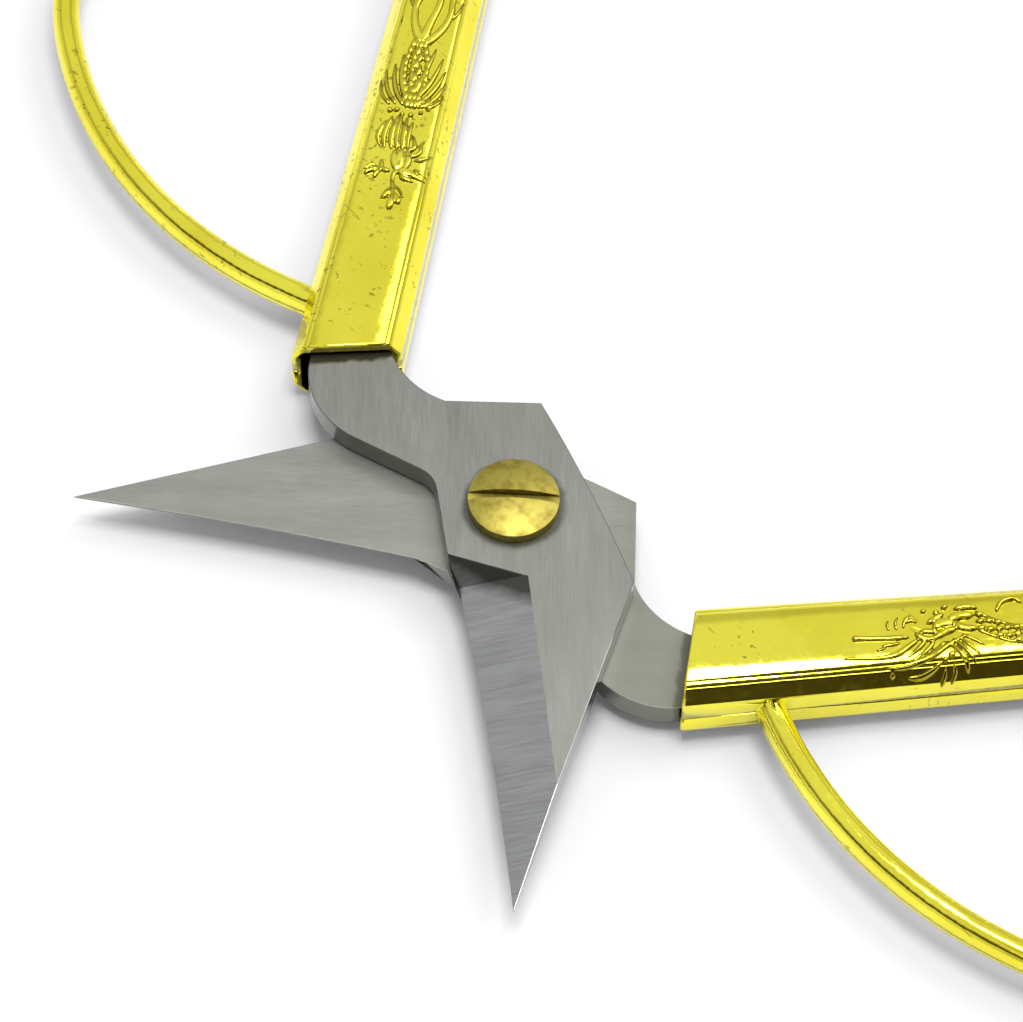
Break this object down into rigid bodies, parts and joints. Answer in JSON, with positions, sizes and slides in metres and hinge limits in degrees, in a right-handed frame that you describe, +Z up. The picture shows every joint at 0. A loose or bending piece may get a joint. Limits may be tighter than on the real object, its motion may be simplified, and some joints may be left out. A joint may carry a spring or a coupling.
{
  "type": "scissors",
  "caption": "Open scissors with short cranked steel blades on a slotted pivot screw, and gilt hollow handle bars with winding relief and slender finger bows.",
  "frame": {"origin": "on the pivot axis, at the plane that the scissors lie on", "axes": "+X to the right and +Y away from the blades, along the line that the closed scissors would point along, +Z up along the pivot"},
  "size_m": [0.1811, 0.087, 0.0094],
  "materials": {
    "steel": "fine brushed, satin",
    "gilt": "lemon-gold mirror plating",
    "brass": "turned, satin"
  },
  "bodies": {
    "lower_half": {"lower_blade": "steel", "pivot_screw": "brass", "pivot_nut": "brass", "lower_handle_front_shell": "gilt", "lower_handle_back_shell": "gilt"},
    "upper_half": {"upper_blade": "steel", "upper_handle_front_shell": "gilt", "upper_handle_back_shell": "gilt"}
  },
  "joints": [
    {"name": "pivot", "type": "hinge", "parent": "lower_half", "child": "upper_half", "pos_m": [0, 0, 0.0046], "axis": [0, 0, 1], "range_deg": [-93.8, 21]}
  ]
}
